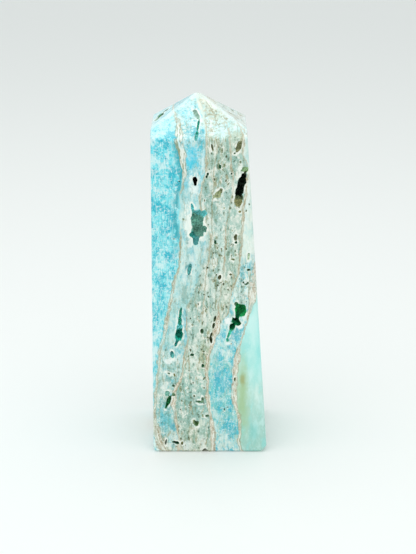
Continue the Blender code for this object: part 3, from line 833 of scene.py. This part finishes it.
# Patches of other tints on the front: (x, height, half width, half height, colour, share).
# The tints lie under the crystals' mottle, the crusts over it, and the stains have soft edges.
FRONT_TINTS = [
    (-1.0, 97.6, 3.4, 1.6, (236, 234, 214), 0.7),
    (0.8, 95.2, 2.6, 1.2, (222, 220, 192), 0.6),
    (-4.3, 98.4, 0.8, 0.8, (140, 212, 214), 0.7),
    (0.2, 92.0, 1.0, 2.4, (244, 246, 236), 0.7),
    (3.2, 92.5, 1.4, 2.0, (214, 240, 238), 0.7),
    (-7.0, 91.5, 1.2, 2.2, (236, 242, 226), 0.6),
    (-4.6, 96.4, 1.2, 1.6, (110, 222, 240), 0.5),
    (-6.4, 94.6, 1.2, 1.8, (110, 222, 240), 0.6),
    (-4.2, 77.4, 2.0, 4.2, (226, 244, 240), 0.95),
    (-6.2, 66.0, 1.3, 6.5, (240, 248, 238), 0.9),
    (-4.8, 84.3, 1.7, 3.4, (60, 200, 228), 0.7),
    (-4.6, 57.5, 0.7, 3.6, (176, 214, 220), 0.6),
    (-1.6, 54.0, 1.6, 7.0, (190, 204, 192), 0.5),
    (-6.9, 38.5, 0.7, 4.8, (90, 184, 196), 0.85),
    (2.6, 20.0, 1.9, 4.6, (20, 182, 200), 0.8),
    (1.8, 13.5, 1.4, 1.8, (90, 194, 196), 0.6),
    (5.2, 12.0, 1.4, 4.0, (104, 190, 188), 0.5),
    (-12.0, 10.0, 2.4, 2.8, (70, 184, 192), 0.6),
    (-12.6, 20.5, 1.6, 1.8, (228, 238, 230), 0.25),
    (-1.3, 29.5, 1.2, 3.0, (176, 176, 132), 0.6),
    (-5.0, 5.5, 1.6, 2.6, (156, 170, 134), 0.45),
    (9.3, 50.5, 1.6, 3.0, (226, 234, 222), 0.6),
    (5.2, 29.0, 1.3, 2.4, (226, 240, 234), 0.6),
    (4.6, 44.5, 1.1, 3.4, (220, 228, 212), 0.4),
    (6.4, 34.0, 2.0, 3.0, (222, 242, 236), 0.6),
    (5.9, 40.6, 1.3, 1.3, (176, 204, 190), 0.8),
    (0.9, 87.0, 0.8, 2.6, (228, 232, 218), 0.6),
    (0.2, 79.6, 1.6, 1.0, (232, 236, 222), 0.6),
]
FRONT_CRUSTS = [
    (2.2, 21.8, 0.8, 2.2, (0, 170, 196), 0.55),
    (3.4, 19.0, 0.7, 1.8, (10, 178, 198), 0.5),
    (2.8, 14.6, 0.8, 1.2, (40, 184, 200), 0.45),
    (-11.4, 9.2, 1.2, 1.5, (60, 184, 192), 0.4),
    (-10.5, 7.6, 0.9, 1.5, (10, 162, 182), 0.7),
    (-5.8, 53.4, 0.9, 2.2, (62, 154, 158), 0.85),
    (-4.7, 84.4, 1.8, 3.4, (44, 212, 242), 0.45),
    (-7.0, 46.4, 1.0, 3.4, (116, 158, 144), 0.6),
    (-13.0, 19.5, 0.9, 1.4, (240, 246, 238), 0.6),
    (-11.6, 21.6, 1.0, 0.8, (92, 156, 148), 0.6),
    (-9.6, 19.0, 0.6, 2.6, (104, 164, 158), 0.5),
    (-5.8, 66.4, 1.0, 4.2, (242, 250, 242), 0.8),
    (-5.4, 60.8, 0.9, 1.4, (240, 248, 242), 0.6),
    (-2.0, 62.0, 0.8, 0.9, (238, 244, 234), 0.7),
    (-4.1, 76.0, 1.0, 1.6, (236, 248, 244), 0.6),
    (-5.3, 79.0, 0.5, 1.4, (240, 250, 246), 0.7),
    (6.1, 75.6, 0.6, 4.4, (240, 240, 228), 0.85),
    (7.2, 79.6, 0.6, 1.6, (240, 240, 228), 0.85),
    (9.7, 77.0, 0.4, 3.8, (212, 190, 154), 0.7),
    (7.9, 70.7, 1.2, 0.6, (238, 238, 226), 0.75),
    (1.3, 72.9, 1.1, 0.5, (240, 242, 232), 0.75),
    (6.6, 85.6, 0.8, 0.7, (240, 242, 232), 0.75),
    (0.1, 86.6, 0.35, 1.0, (240, 242, 232), 0.7),
    (-7.6, 36.6, 0.35, 3.0, (244, 250, 246), 0.85),
    (-9.4, 37.6, 0.3, 3.6, (238, 248, 244), 0.6),
    (-7.0, 51.0, 0.6, 2.2, (236, 244, 238), 0.5),
    (4.9, 38.6, 0.7, 1.2, (246, 250, 246), 0.9),
    (5.3, 36.6, 0.4, 1.2, (246, 250, 246), 0.8),
    (8.6, 37.0, 1.0, 0.7, (244, 250, 246), 0.85),
    (9.4, 40.0, 0.5, 1.2, (238, 246, 240), 0.6),
    (4.8, 32.2, 0.9, 0.6, (244, 250, 248), 0.8),
    (3.4, 29.8, 0.9, 1.2, (240, 250, 248), 0.5),
    (-11.6, 27.0, 1.3, 0.8, (244, 250, 246), 0.75),
    (-9.9, 27.5, 1.0, 0.6, (240, 248, 242), 0.6),
    (-14.2, 3.4, 0.7, 3.4, (176, 146, 108), 0.65),
    (-9.0, 1.4, 0.5, 2.2, (214, 186, 156), 0.6),
    (-6.4, 2.0, 1.4, 2.0, (236, 244, 240), 0.5),
    (-2.2, 2.6, 1.0, 2.4, (238, 244, 236), 0.5),
    (6.3, 40.4, 0.8, 0.9, (160, 196, 180), 0.6),
    (-4.9, 27.3, 1.3, 1.0, (240, 244, 234), 0.6),
    (-12.6, 12.6, 0.7, 0.6, (242, 246, 240), 0.7),
    (-2.7, 14.3, 1.2, 0.3, (242, 246, 238), 0.8),
    (-4.0, 7.2, 1.2, 0.8, (236, 240, 230), 0.5),
    (-2.6, 8.8, 0.7, 1.6, (214, 222, 204), 0.6),
    (7.0, 27.0, 0.7, 1.4, (240, 242, 234), 0.5),
]
FRONT_STAINS = [
    (9.0, 17.0, 2.4, 15.0, (158, 190, 128), 0.75),
    (9.1, 21.5, 1.1, 2.4, (160, 158, 92), 0.65),
    (13.6, 30.0, 1.6, 12.0, (140, 232, 228), 0.35),
    (13.0, 17.5, 1.0, 4.5, (232, 248, 240), 0.4),
    (12.4, 6.0, 1.8, 4.0, (120, 204, 196), 0.6),
    (10.4, 9.0, 1.2, 6.0, (176, 206, 168), 0.4),
    (-13.6, 3.6, 1.4, 4.2, (186, 168, 136), 0.5),
]

DEEP_TURQUOISE = (18, 178, 200)
BRIGHT_TURQUOISE = (84, 200, 212)
BESIDE_TEAL = (40, 160, 172)
PALE_AQUA = (208, 244, 240)
GLASS_AQUA = (142, 222, 218)
WISP_WHITE = (236, 250, 246)
GRAIN_WHITE = (238, 240, 228)
GRAIN_TEAL = (128, 176, 166)
GRAIN_GREEN = (112, 138, 108)
GRAIN_DARK = (62, 84, 60)
LINE_OLIVE = (160, 154, 114)
STRIP_AQUA = (188, 228, 222)
STRIP_WHITE = (244, 250, 244)
SEAM_BROWN = (156, 134, 100)
SEAM_CREAM = (238, 240, 228)
SEAM_EDGE = (154, 150, 114)
FLECK_OLIVE = (146, 150, 108)
RIM_CREAM = (244, 248, 238)
# Painted highlight for the pyramid's ridges.
RIDGE_HIGHLIGHT = (232, 248, 246)

# Where each kind of layer lies: (seam, where it starts, where it is full), in how far
# right of the seam a point is, or the same with "height" for a seam.
LAYER_BOUNDS = {
    "left": [("left", 0.1, -0.8)],
    "pale": [("left", -0.1, 0.6), ("lower_left", 0.3, -0.6)],
    "grey": [("lower_left", -0.5, 0.4), ("wedge", 0.3, -0.3), ("height", 91.0, 89.4)],
    "wedge": [("wedge", -0.2, 0.4), ("right", 0.2, -0.4), ("height", 60.0, 52.0)],
    "strip": [("wedge", 0.0, 0.5), ("height", 52.0, 60.0)],
    "facet": [("height", 89.6, 91.5), ("middle", -0.3, 0.3)],
    "glassy": [("right", -0.1, 0.5)],
}

# How strong a mottle is in each kind of layer: a number, or (low height, high height,
# strength under the low one, strength over the high one).
BLUE_STRENGTHS = {
    "left": (89.0, 91.0, 1.0, 0.6), "pale": (77.0, 81.0, 0.45, 0.9),
    "wedge": 0.9, "strip": 0.12, "facet": 0.2,
}
CRUMBLY_STRENGTHS = {
    "grey": 1.0, "pale": (28.0, 34.0, 0.8, 0.4), "wedge": (40.0, 46.0, 0.25, 0.85),
    "strip": 0.12, "facet": 0.4,
}

# Coats that follow clouds: (tint, the clouds' sizes, seed, detail, roughness, the cloud
# value where the coat starts, the value where it is full, strength).
GLASS_COATS = [
    (GLASS_AQUA, (2.6, 2.6, 6.0), 22, 3, 0.58, 0.47, 0.66, 0.55),
    (PALE_AQUA, (2.6, 2.6, 6.0), 22, 3, 0.58, 0.5, 0.34, 0.55),
    (PALE_AQUA, (0.5, 0.5, 0.7), 23, 3, 0.7, 0.52, 0.68, 0.35),
]
STRIP_COATS = [
    (STRIP_AQUA, (2.8, 2.8, 6.5), 27, 4, 0.62, 0.47, 0.62, 0.7),
    (STRIP_WHITE, (2.8, 2.8, 6.5), 27, 4, 0.62, 0.48, 0.36, 0.7),
]
THREAD_COATS = [
    (WISP_WHITE, (0.32, 0.32, 2.2), 34, 2, 0.6, 0.54, 0.66, 0.4),
    (DEEP_TURQUOISE, (0.32, 0.32, 2.2), 34, 2, 0.6, 0.46, 0.34, 0.3),
]

# Painted light on a hollow's wall colour: the crystals' sparkle brightens it as painted glints and
# dims it as painted shade, and depth darkens it as painted shade.
WALL_LIT = (1.9, 1.8, 1.7, 1)
WALL_DIM = (0.55, 0.6, 0.55, 1)
WALL_DEPTH_SHADE = (0.45, 0.5, 0.47, 1)

POLISH_ROUGHNESS = 0.15
BUMP_STRENGTH = 0.35
BUMP_HEIGHT = 0.3

# The scale of the height that ramps and curves run over, and the values a curve holds.
FULL_HEIGHT = 100.0
CURVE_REACH = 20.0


class Graph:
    """Short ways to add and join a material's nodes. A value is a number or a socket."""

    # How far one step of the seed moves a pattern along x, y and z.
    NOISE_STEP = (7.3, 3.1, 5.7)
    CELL_STEP = (5.1, 2.7, 9.2)

    def __init__(self, material):
        material.use_nodes = True
        self.tree = material.node_tree
        self.shader = self.tree.nodes["Principled BSDF"]

    def join(self, socket, value):
        if isinstance(value, bpy.types.NodeSocket):
            self.tree.links.new(value, socket)
        else:
            socket.default_value = value

    def node(self, kind, *values, **settings):
        """A new node with its settings made and its first inputs joined to the values."""
        node = self.tree.nodes.new("ShaderNode" + kind)
        for name, setting in settings.items():
            setattr(node, name, setting)
        for socket, value in zip(node.inputs, values):
            self.join(socket, value)
        return node

    def math(self, operation, *values):
        return self.node("Math", *values, operation=operation).outputs[0]

    def minus(self, a, b):
        return self.math("SUBTRACT", a, b)

    def add(self, *values):
        return functools.reduce(lambda a, b: self.math("ADD", a, b), values)

    def times(self, *values):
        return functools.reduce(lambda a, b: self.math("MULTIPLY", a, b), values)

    def line(self, value, slope, start):
        return self.math("MULTIPLY_ADD", value, slope, start)

    def rise(self, value, low, high):
        """0 where the value is under low, 1 where it is over high, smooth between."""
        ranged = self.node("MapRange", value, low, high, interpolation_type="SMOOTHSTEP")
        return ranged.outputs["Result"]

    def fall(self, value, low, high):
        return self.minus(1.0, self.rise(value, low, high))

    def between(self, value, start, full):
        """0 at the start and 1 where it is full, whichever of the two is higher."""
        if start < full:
            return self.rise(value, start, full)
        return self.fall(value, full, start)

    def step(self, value, low, high, before, after):
        """One number where the value is under low, another where it is over high."""
        return self.line(self.rise(value, low, high), after - before, before)

    def near(self, value, middle, core, edge):
        """1 where the value is within core of the middle, 0 past edge."""
        return self.fall(self.math("ABSOLUTE", self.minus(value, middle)), core, edge)

    def about_zero(self, value, reach):
        """A noise value turned into one from about -reach to reach."""
        return self.line(value, 4 * reach, -2 * reach)

    def vector(self, x, y, z):
        return self.node("CombineXYZ", x, y, z).outputs[0]

    def parts(self, vector):
        return self.node("SeparateXYZ", vector).outputs

    def scaled(self, vector, factors):
        return self.node("VectorMath", vector, factors, operation="MULTIPLY").outputs[0]

    def pattern(self, kind, place, sizes, shift):
        """A texture node with features of the given sizes along x, y and z."""
        scaled = self.scaled(place, tuple(1 / size for size in sizes))
        moved = self.node("VectorMath", scaled, shift, operation="ADD").outputs[0]
        texture = self.node(kind, moved)
        texture.inputs["Scale"].default_value = 1.0
        return texture

    def noise(self, place, sizes, seed, detail=2.0, roughness=0.5):
        """Cloudy values about 0.5, with clouds of the given sizes."""
        shift = tuple(seed * step for step in self.NOISE_STEP)
        texture = self.pattern("TexNoise", place, sizes, shift)
        texture.inputs["Detail"].default_value = detail
        texture.inputs["Roughness"].default_value = roughness
        return texture.outputs["Fac"]

    def cells(self, place, sizes, seed):
        """Grains of the given sizes: a random value for each, and how far out a point is."""
        shift = tuple(seed * step for step in self.CELL_STEP)
        texture = self.pattern("TexVoronoi", place, sizes, shift)
        return self.parts(texture.outputs["Color"])[0], texture.outputs["Distance"]

    def mix(self, share, a, b, blend="MIX"):
        node = self.node("Mix", data_type="RGBA", blend_type=blend)
        sockets = [socket for socket in node.inputs if socket.type == "RGBA"]
        self.join(node.inputs["Factor"], share)
        for socket, value in zip(sockets, (a, b)):
            self.join(socket, value)
        return next(socket for socket in node.outputs if socket.type == "RGBA")

    def ramp(self, height, stops):
        """The colour at a height, from stops of (height, colour)."""
        node = self.node("ValToRGB", self.math("DIVIDE", height, FULL_HEIGHT))
        elements = node.color_ramp.elements
        while len(elements) < len(stops):
            elements.new(0.5)
        for element, (stop, colour) in zip(elements, stops):
            element.position = stop / FULL_HEIGHT
            element.color = daylight(*colour)
        return node.outputs["Color"]

    def curve(self, height, points):
        """A smooth function of the height through the given points."""
        node = self.tree.nodes.new("ShaderNodeFloatCurve")
        self.join(node.inputs["Value"], self.math("DIVIDE", height, FULL_HEIGHT))
        curve = node.mapping.curves[0]
        while len(curve.points) < len(points):
            curve.points.new(0.5, 0.5)
        for point, (place, result) in zip(curve.points, points):
            point.location = (place / FULL_HEIGHT, (result + CURVE_REACH) / (2 * CURVE_REACH))
        node.mapping.update()
        return self.line(node.outputs["Value"], 2 * CURVE_REACH, -CURVE_REACH)

    def attribute(self, name, output="Fac"):
        return self.node("Attribute", attribute_name=name).outputs[output]


class StonePaint(Graph):
    """Paints the stone in coats, each over the ones before it."""

    def __init__(self, material):
        super().__init__(material)
        self.find_place()
        self.paint_layers()
        self.find_shares()

    def coat(self, tint, *shares):
        """Lays a colour over the paint, by the product of the shares."""
        self.colour = self.mix(self.times(*shares), self.colour, daylight(*tint))

    def clouds(self, sizes, seed, detail=2.0, roughness=0.5):
        return self.noise(self.place, sizes, seed, detail, roughness)

    def cloud_coats(self, coats, share):
        for tint, sizes, seed, detail, roughness, start, full, strength in coats:
            cloudy = self.clouds(sizes, seed, detail, roughness)
            self.coat(tint, self.between(cloudy, start, full), share, strength)

    def find_place(self):
        """Where a point lies: its place, and its x and height in the layers on the front.

        The layers run through the whole stone. Away from the front they bend and slide, so
        the other faces show the same layers in other places.
        """
        coordinates = self.node("TexCoord")
        self.place = self.scaled(coordinates.outputs["Object"], (1 / MM,) * 3)
        x, y, self.z = self.parts(self.place)
        above = self.math("MAXIMUM", self.minus(self.z, SHOULDER), 0.0)
        self.away = self.rise(self.line(above, -1.25, y), -12.5, 15.0)
        bend = self.about_zero(self.clouds((30, 14, 34), 1), 5.5)
        slide = self.minus(self.about_zero(self.clouds((30, 18, 30), 2), 15), 8)
        ripple = self.about_zero(self.clouds((1.7, 1.7, 2.8), 3, 4, 0.62), 0.42)
        self.layer_x = self.add(x, self.times(self.away, bend), ripple)
        self.height = self.add(self.z, self.times(self.away, slide))
        self.drift = self.times(y, 0.25)

    def paint_layers(self):
        """Paints the layers plainly, and finds how far right of each seam a point is."""
        patchy = self.about_zero(self.clouds((2.4, 2.4, 3.6), 4, 3), 2.5)
        along = self.add(self.height, patchy)
        self.colour = self.ramp(along, LAYERS[0])
        self.past = {}
        for (name, points), stops in zip(SEAMS.items(), LAYERS[1:]):
            past = self.minus(self.layer_x, self.curve(self.height, points))
            self.past[name] = past
            self.colour = self.mix(self.rise(past, -0.2, 0.2), self.colour, self.ramp(along, stops))

    def find_shares(self):
        """How much each kind of layer counts at a point."""
        places = {**self.past, "height": self.height}
        self.share = {}
        for name, bounds in LAYER_BOUNDS.items():
            shares = [self.between(places[place], start, full) for place, start, full in bounds]
            self.share[name] = self.times(*shares)

    def total(self, strengths):
        """A mottle's share, from its strengths in the kinds of layer."""
        shares = []
        for name, strength in strengths.items():
            if isinstance(strength, tuple):
                strength = self.step(self.height, *strength)
            shares.append(self.times(self.share[name], strength))
        return self.add(*shares)

    def front_patches(self, patches, ragged, core):
        """Patches of other tints on the front, full to the share core of their size."""
        near_front = self.fall(self.away, 0.05, 0.3)
        for x, z, half_width, half_height, tint, share in patches:
            across = self.math("DIVIDE", self.minus(self.layer_x, x), half_width)
            up = self.math("DIVIDE", self.minus(self.height, z), half_height)
            square = self.add(self.times(across, across), self.times(up, up))
            out = self.add(self.math("SQRT", square), ragged)
            self.coat(tint, self.fall(out, core, 1.15), near_front, share)

    def blue_mottle(self):
        """Deep turquoise clots, and white in soft clouds and small flecks."""
        share = self.total(BLUE_STRENGTHS)
        broad = self.about_zero(self.clouds((4.0, 4.0, 6.0), 25), 0.17)
        clots = self.add(self.clouds((1.7, 1.7, 2.6), 5, 4, 0.66), broad)
        self.coat(DEEP_TURQUOISE, self.rise(clots, 0.49, 0.6), share, 0.95)
        grains = self.clouds((0.45, 0.45, 1.3), 6, 2, 0.6)
        self.coat(BRIGHT_TURQUOISE, self.rise(grains, 0.48, 0.62), share, 0.85)
        soft = self.add(self.clouds((2.0, 2.0, 2.0), 7, 5, 0.74), self.times(broad, -0.8))
        flecks = self.clouds((0.7, 0.7, 0.5), 9, 3, 0.75)
        self.white = self.math(
            "MAXIMUM",
            self.times(self.rise(soft, 0.51, 0.64), 0.7),
            self.times(self.rise(flecks, 0.54, 0.63), 0.65),
        )
        self.coat(WISP_WHITE, self.white, share, 0.9)
        self.cloud_coats(THREAD_COATS, share)

    def teal_beside_seam(self):
        """The blue layer's deeper teal beside its seam, on the upper half."""
        beside = self.times(self.rise(self.past["left"], -3.2, -0.6), self.share["left"])
        upper = self.times(self.rise(self.height, 52.0, 66.0), self.fall(self.height, 88.0, 90.0))
        cloudy = self.rise(self.clouds((1.1, 1.1, 2.2), 35, 3, 0.65), 0.4, 0.54)
        self.coat(BESIDE_TEAL, beside, upper, cloudy, 0.9)

    def grey_mottle(self):
        """The crumbly grey-green layer: crumbs of many tints in strings along the layer."""
        share = self.total(CRUMBLY_STRENGTHS)
        along = self.vector(self.layer_x, self.drift, self.times(self.height, 0.12))
        strings = self.noise(along, (0.75, 1, 1), 10, 3, 0.6)
        clumps = self.clouds((2.2, 2.2, 3.0), 11, 3, 0.6)
        self.coat(GRAIN_TEAL, self.rise(strings, 0.48, 0.62), share, 0.65)
        self.coat(GRAIN_WHITE, self.fall(clumps, 0.38, 0.5), share, 0.4)
        lines = self.near(self.noise(along, (1.3, 1, 1), 12, 1), 0.5, 0.012, 0.04)
        broken = self.rise(self.clouds((3, 3, 4), 13), 0.4, 0.55)
        self.coat(LINE_OLIVE, lines, broken, share, 0.75)

        crumbs = self.clouds((0.7, 0.7, 1.0), 14, 4, 0.85)
        lean = self.add(crumbs, self.about_zero(strings, 0.06), self.about_zero(clumps, 0.08))
        self.coat(GRAIN_WHITE, self.fall(lean, 0.37, 0.46), share, 0.85)
        self.coat(GRAIN_GREEN, self.rise(lean, 0.54, 0.64), share, 0.75)
        grain, out = self.cells(self.place, (0.7, 0.7, 0.9), 15)
        dark = self.times(
            self.rise(lean, 0.5, 0.56),
            self.rise(grain, 0.6, 0.65),
            self.fall(out, 0.25, 0.5),
        )
        self.coat(GRAIN_DARK, dark, share, 0.8)
        self.dark = self.times(dark, share)

    def facet_curls(self):
        """Thin olive and brown curls on the pyramid's banded part."""
        curls = self.near(self.clouds((2.4, 2.4, 1.7), 30, 2, 0.5), 0.52, 0.01, 0.035)
        broken = self.rise(self.clouds((1.2, 1.2, 1.2), 31, 2), 0.4, 0.55)
        self.coat(SEAM_EDGE, curls, broken, self.share["facet"], 0.75)
        tan = self.clouds((1.3, 1.3, 1.0), 32, 3, 0.65)
        self.coat(SEAM_TINTS["middle"], self.rise(tan, 0.52, 0.66), self.share["facet"], 0.6)

    def fine_lines(self):
        """Hair-thin olive lines that run with the layers."""
        broken = self.rise(self.clouds((1.5, 1.5, 3.0), 29, 2), 0.36, 0.5)
        for points in FINE_LINES:
            distance = self.minus(self.layer_x, self.curve(self.height, points))
            reach = self.stretch(points[0][0], points[-1][0])
            self.coat(SEAM_EDGE, self.near(distance, 0.0, 0.06, 0.26), reach, broken, 0.6)

    def stretch(self, bottom, top, fade=3.0):
        """1 between two heights, fading to 0 at both."""
        rise = self.rise(self.height, bottom, bottom + fade)
        return self.times(rise, self.fall(self.height, top - fade, top))

    def seam_filling(self, name, specks):
        """The tan, brown and cream fibres inside a seam."""
        along = self.vector(self.past[name], self.drift, self.times(self.height, 0.3))
        fibres = self.noise(along, (0.42, 1, 1), 18, 3, 0.6)
        brown = self.rise(fibres, 0.5, 0.58)
        cream = self.math("MAXIMUM", self.fall(fibres, 0.4, 0.48), self.times(specks, 0.7))
        tan = daylight(*SEAM_TINTS[name])
        filling = self.mix(self.times(brown, 0.8), tan, daylight(*SEAM_BROWN))
        filling = self.mix(cream, filling, daylight(*SEAM_CREAM))
        if name in CREAM_STRETCHES:
            flecked = self.mix(brown, daylight(*SEAM_CREAM), daylight(*FLECK_OLIVE))
            filling = self.mix(self.stretch(*CREAM_STRETCHES[name]), filling, flecked)
        return filling

    def seams(self):
        """Thin seams between the layers, with frayed edges."""
        specks = self.rise(self.clouds((0.5, 0.5, 0.6), 26, 3, 0.75), 0.5, 0.58)
        ragged = self.about_zero(self.clouds((0.6, 0.6, 0.9), 33, 3, 0.7), 0.25)
        worn = self.clouds((1.2, 1.2, 3.5), 19, 2)
        swelling = self.line(worn, 1.6, 0.2)
        unbroken = self.step(worn, 0.36, 0.5, 0.6, 1.0)
        for name, past in self.past.items():
            half = self.times(self.curve(self.height, SEAM_WIDTHS[name]), swelling)
            distance = self.math("ABSOLUTE", past)
            present = self.rise(half, 0.02, 0.1)
            low, high = self.times(half, 0.7), self.add(half, 0.1)
            core = self.fall(self.add(distance, ragged), low, high)
            share = self.times(core, present, unbroken, 0.9)
            self.colour = self.mix(share, self.colour, self.seam_filling(name, specks))
            self.coat(SEAM_EDGE, self.near(distance, half, 0.03, 0.2), present, unbroken, 0.55)

    def paint_ridge_highlight(self):
        """Paints a pale highlight along the pyramid's ridges: painted light where their rounded
        edges catch it.
        """
        ridges = self.times(self.attribute("arris"), self.rise(self.z, 90.0, 92.0))
        self.coat(RIDGE_HIGHLIGHT, self.rise(ridges, 0.3, 1.0), 0.6)

    def hollow_walls(self):
        """White rims round the hollows, and crystal walls in them with painted glints, painted
        shade between the crystals and painted shade that deepens with depth.
        """
        ragged = self.about_zero(self.clouds((0.9, 0.9, 0.9), 20, 3, 0.6), 0.55)
        present = self.rise(self.clouds((1.8, 1.8, 2.2), 24, 2), 0.42, 0.58)
        rim = self.times(self.attribute("rim"), self.add(ragged, 1.0))
        self.coat(RIM_CREAM, self.rise(rim, 0.15, 0.7), present, 0.85)
        depth, wall = self.attribute("depth"), self.attribute("wall", "Color")
        self.crystals = self.clouds((0.45, 0.45, 0.45), 21, 3, 0.7)
        lumps = self.about_zero(self.clouds((1.1, 1.1, 1.1), 28, 2), 0.12)
        sparkle = self.add(self.crystals, lumps)
        # Painted glints and painted shade on the crystals.
        lit, dim = (self.mix(1.0, wall, tint, "MULTIPLY") for tint in (WALL_LIT, WALL_DIM))
        bright = self.mix(self.rise(sparkle, 0.5, 0.68), wall, lit)
        bright = self.mix(self.fall(sparkle, 0.34, 0.48), bright, dim)
        # Painted shade: the wall darkens with depth.
        shaded = self.mix(1.0, bright, WALL_DEPTH_SHADE, "MULTIPLY")
        wall = self.mix(self.rise(depth, 0.6, 4.0), bright, shaded)
        self.inside = self.rise(depth, 0.04, 0.35)
        self.colour = self.mix(self.inside, self.colour, wall)

    def finish(self):
        """Joins the paint to the shader, with the polish and the fine relief."""
        rough = self.add(
            POLISH_ROUGHNESS,
            self.times(self.dark, 0.3),
            self.times(self.inside, 0.5),
            self.times(self.white, 0.06),
        )
        relief = self.add(
            self.times(self.dark, -1.0),
            self.times(self.white, 0.06),
            self.times(self.inside, self.crystals, 1.5),
        )
        bump = self.node("Bump")
        bump.inputs["Strength"].default_value = BUMP_STRENGTH
        bump.inputs["Distance"].default_value = BUMP_HEIGHT * MM
        self.join(bump.inputs["Height"], relief)
        self.join(self.shader.inputs["Base Color"], self.colour)
        self.join(self.shader.inputs["Roughness"], rough)
        self.join(self.shader.inputs["Normal"], bump.outputs["Normal"])


def stone_material():
    """Polished banded aragonite outside, and rough crystal walls inside the hollows."""
    material = bpy.data.materials.new("blue_aragonite")
    paint = StonePaint(material)
    clumps = paint.about_zero(paint.clouds((1.5, 1.5, 2.0), 16, 3, 0.65), 0.5)
    crumbs = paint.about_zero(paint.clouds((0.5, 0.5, 0.6), 17, 3, 0.7), 0.3)
    soft, ragged = paint.times(clumps, 0.3), paint.add(clumps, crumbs)
    paint.cloud_coats(GLASS_COATS, paint.share["glassy"])
    paint.cloud_coats(STRIP_COATS, paint.share["strip"])
    paint.front_patches(FRONT_STAINS, soft, 0.1)
    paint.front_patches(FRONT_TINTS, ragged, 0.5)
    paint.blue_mottle()
    paint.teal_beside_seam()
    paint.grey_mottle()
    paint.facet_curls()
    paint.front_patches(FRONT_CRUSTS, ragged, 0.5)
    paint.fine_lines()
    paint.seams()
    paint.paint_ridge_highlight()
    paint.hollow_walls()
    paint.finish()
    return material


# The photograph's view: straight at the front, looking down a little. The elevation is
# in degrees.
CAMERA_DISTANCE = 420.0
CAMERA_ELEVATION = 17
CAMERA_TARGET = Vector((-0.6, 0, 47))
CAMERA_LENS = 95.8
SENSOR_HEIGHT = 36
CLIP_START = 10

# The studio: the floor's size in metres, the sky's colour and strength, and one soft
# lamp with its place, target, diameter and watts.
FLOOR_SIZE = 6
FLOOR_COLOUR = (0.85, 0.87, 0.855, 1)
FLOOR_ROUGHNESS = 0.6
SKY_COLOUR = (0.95, 0.985, 0.985, 1)
SKY_STRENGTH = 0.85
LAMP_PLACE = Vector((-60, -120, 520))
LAMP_TARGET = Vector((0, 0, 60))
LAMP_SIZE = 800
LAMP_POWER = 1.5


def add_camera():
    elevation = math.radians(CAMERA_ELEVATION)
    data = bpy.data.cameras.new("camera")
    data.sensor_fit = "VERTICAL"
    data.sensor_height = SENSOR_HEIGHT
    data.lens = CAMERA_LENS
    data.clip_start = CLIP_START * MM
    camera = new_object("camera", data)
    towards = Vector((0, math.cos(elevation), -math.sin(elevation)))
    camera.location = (CAMERA_TARGET - towards * CAMERA_DISTANCE) * MM
    camera.rotation_euler = (math.radians(90) - elevation, 0, 0)
    bpy.context.scene.camera = camera


def add_lamp():
    data = bpy.data.lights.new("overhead", "AREA")
    data.shape = "DISK"
    data.size = LAMP_SIZE * MM
    data.energy = LAMP_POWER
    lamp = new_object("overhead", data)
    lamp.location = LAMP_PLACE * MM
    lamp.rotation_euler = (LAMP_TARGET - LAMP_PLACE).to_track_quat("-Z", "Y").to_euler()


def add_floor():
    bpy.ops.mesh.primitive_plane_add(size=FLOOR_SIZE)
    floor = bpy.context.object
    floor.name = "floor"
    material = bpy.data.materials.new("floor")
    material.use_nodes = True
    shader = material.node_tree.nodes["Principled BSDF"]
    shader.inputs["Base Color"].default_value = FLOOR_COLOUR
    shader.inputs["Roughness"].default_value = FLOOR_ROUGHNESS
    floor.data.materials.append(material)


def add_sky():
    world = bpy.data.worlds.new("studio")
    world.use_nodes = True
    background = world.node_tree.nodes["Background"]
    background.inputs["Color"].default_value = SKY_COLOUR
    background.inputs["Strength"].default_value = SKY_STRENGTH
    bpy.context.scene.world = world


stone = build_tower()
stone.data.materials.clear()
stone.data.materials.append(stone_material())
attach(stone, "root")
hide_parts("tower")
add_camera()
add_floor()
add_sky()
add_lamp()
bpy.context.scene.view_settings.view_transform = "Standard"
